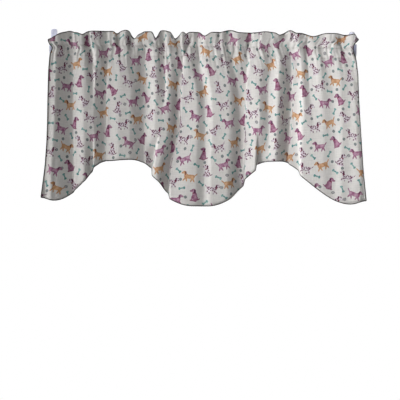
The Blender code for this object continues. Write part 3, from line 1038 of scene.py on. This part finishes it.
STITCH_PITCH = 3.2
STITCH_LENGTH = 2.5
STITCH_THICKNESS = 0.42
STITCH_LIFT = 0.15
STITCH_SIDES = 6
STITCH_RINGS = 4
PLY_TWIST = 0.0004
SEWING_LIGHT = linear("DAD3C6")
SEWING_DARK = linear("B3AA9B")


def stitch_row(bm, stitch, row, outward):
    """Copies of one stitch laid along a row of the cloth, on its face for an outward of -1 and
    behind it for 1."""
    reach = np.concatenate(([0.0], np.cumsum(np.linalg.norm(np.diff(row, axis=0), axis=1))))
    for place in np.arange(STITCH_PITCH, reach[-1] - STITCH_PITCH, STITCH_PITCH):
        start, middle, end = (Vector([np.interp(at, reach, row[:, axis]) for axis in range(3)])
                              for at in (place - STITCH_LENGTH / 2, place, place + STITCH_LENGTH / 2))
        along = (end - start).normalized()
        across = Vector((0, 0, 1)).cross(along).normalized() * outward
        turn = Matrix((along, across, along.cross(across))).transposed().to_4x4()
        where = Matrix.Translation(world(middle + across * (CLOTH_THICKNESS / 2 + STITCH_LIFT))) @ turn
        stitch.transform(where)
        bm.from_mesh(stitch)
        stitch.transform(where.inverted())


def sewing_thread():
    """Ecru sewing thread, twisted, with a slight lustre."""
    material, tree, shader = new_material("Polyester sewing thread, ecru", Roughness=0.6, IOR=1.55,
                                          Specular_IOR_Level=0.4, Sheen_Weight=0.15)
    place = add_node(tree, "ShaderNodeTexCoord").outputs["Object"]
    twist = grain_noise(tree, place, PLY_TWIST, 1.0)
    tint = mixed(tree, twist, SEWING_DARK, SEWING_LIGHT)
    tree.links.new(tint.outputs[2], shader.inputs["Base Color"])
    return material


back_pocket_seam_row = 1
back_header_seam_row = back_pocket_seam_row + 2 * SEAM_ROWS + POCKET_BACK_STEPS - 1
on_the_face = (header_seam_row, pocket_seam_row)
on_the_back = (back_header_seam_row, back_pocket_seam_row)
bm = bmesh.new()
bmesh.ops.create_uvsphere(bm, u_segments=STITCH_SIDES, v_segments=STITCH_RINGS, radius=MM / 2)
bmesh.ops.scale(bm, verts=bm.verts, vec=(STITCH_LENGTH, STITCH_THICKNESS, STITCH_THICKNESS))
one_stitch = bpy.data.meshes.new("one_stitch")
bm.to_mesh(one_stitch)
bm.clear()
for outward, seam_rows in ((-1, on_the_face), (1, on_the_back)):
    for row in seam_rows:
        stitch_row(bm, one_stitch, cloth_rows[row], outward)
bmesh.ops.recalc_face_normals(bm, faces=bm.faces)
stitches = finished("pocket_stitches", bm, sewing_thread())


# ---------------------------------------------------------------------------------------------
# Studio. A pale painted floor far below the hanging valance, a white surround, a strong soft light
# from the left, a narrow one from the front left, weak ones from the right and the front, one
# behind for the back, and the camera square on to the cloth.
# ---------------------------------------------------------------------------------------------

FLOOR_HEIGHT = -1.25
FLOOR_REACH = 1.35
FLOOR_SIDES = 96
FLOOR_MIDDLE = -0.1
ROLLER_STIPPLE = 1 / 300
ROLLER_STIPPLE_HEIGHT = 0.0005
FLOOR_GREY = linear("E4E4E2")


def floor_paint():
    """Matt emulsion on a studio floor, rolled, with a faint unevenness."""
    material, tree, shader = new_material("Emulsion paint, rolled, pale", Roughness=0.9)
    place = add_node(tree, "ShaderNodeTexCoord").outputs["Object"]
    stipple = grain_noise(tree, place, ROLLER_STIPPLE, 2.0)
    relief = add_node(tree, "ShaderNodeBump", {
        "Height": stipple, "Strength": 0.1, "Distance": ROLLER_STIPPLE_HEIGHT})
    shader.inputs["Base Color"].default_value = FLOOR_GREY
    tree.links.new(relief.outputs[0], shader.inputs["Normal"])
    return material


bm = bmesh.new()
bmesh.ops.create_circle(bm, cap_ends=True, segments=FLOOR_SIDES, radius=FLOOR_REACH,
                        matrix=Matrix.Translation((0, FLOOR_MIDDLE, FLOOR_HEIGHT)))
floor_mesh = bpy.data.meshes.new("studio_floor")
bm.to_mesh(floor_mesh)
bm.free()
floor_mesh.materials.append(floor_paint())
floor = bpy.data.objects.new("studio_floor", floor_mesh)
bpy.context.scene.collection.objects.link(floor)

LIGHTS = (
    # name, place, aimed at, size, spread in degrees, watts
    ("soft_left", (-2.94, -0.61, 0.06), (0.00, -0.09, -0.20), 1.0, 180, 54.0),
    ("soft_front_left", (-1.30, -1.68, 0.15), (0.60, -0.09, -0.20), 0.8, 35, 2.1),
    ("soft_right", (1.55, -0.40, -0.03), (0.40, -0.09, -0.20), 0.6, 180, 3.0),
    ("soft_front", (-0.65, -2.50, -0.20), (0.00, -0.09, -0.20), 0.8, 180, 5.2),
    ("soft_back", (-0.90, 2.40, 1.60), (0.00, 0.00, -0.20), 1.2, 180, 110.0),
)
for name, place, target, size, spread, watts in LIGHTS:
    lamp = bpy.data.lights.new(name, "AREA")
    lamp.shape = "DISK"
    lamp.size = size
    lamp.spread = math.radians(spread)
    lamp.energy = watts
    light = bpy.data.objects.new(name, lamp)
    light.location = place
    light.rotation_euler = (Vector(target) - Vector(place)).to_track_quat("-Z", "Y").to_euler()
    bpy.context.scene.collection.objects.link(light)

# The surround is white to the camera, and gives only a little light of its own.
SURROUND_LIGHT = 0.03
surround = bpy.data.worlds.new("white_surround")
surround.use_nodes = True
tree = surround.node_tree
background = tree.nodes["Background"]
seen = add_node(tree, "ShaderNodeLightPath").outputs["Is Camera Ray"]
strength = add_node(tree, "ShaderNodeMapRange", [seen, 0.0, 1.0, SURROUND_LIGHT, 1.0])
background.inputs["Color"].default_value = (1, 1, 1, 1)
tree.links.new(strength.outputs[0], background.inputs["Strength"])
bpy.context.scene.world = surround
bpy.context.scene.view_settings.view_transform = "Standard"

CAMERA_X = -0.0034
CAMERA_Z = -0.3944
CAMERA_DISTANCE = 4.0
CLOTH_PLANE = -0.090
FRAME_WIDTH = 1.048
CAMERA_ROLL = 0.6
SENSOR = 36.0
camera_data = bpy.data.cameras.new("camera")
camera_data.sensor_width = SENSOR
camera_data.lens = SENSOR * CAMERA_DISTANCE / FRAME_WIDTH
camera = bpy.data.objects.new("camera", camera_data)
camera.matrix_world = (
    Matrix.Translation((CAMERA_X, CLOTH_PLANE - CAMERA_DISTANCE, CAMERA_Z))
    @ Matrix.Rotation(math.radians(90), 4, "X")
    @ Matrix.Rotation(math.radians(CAMERA_ROLL), 4, "Z"))
bpy.context.scene.collection.objects.link(camera)
bpy.context.scene.camera = camera
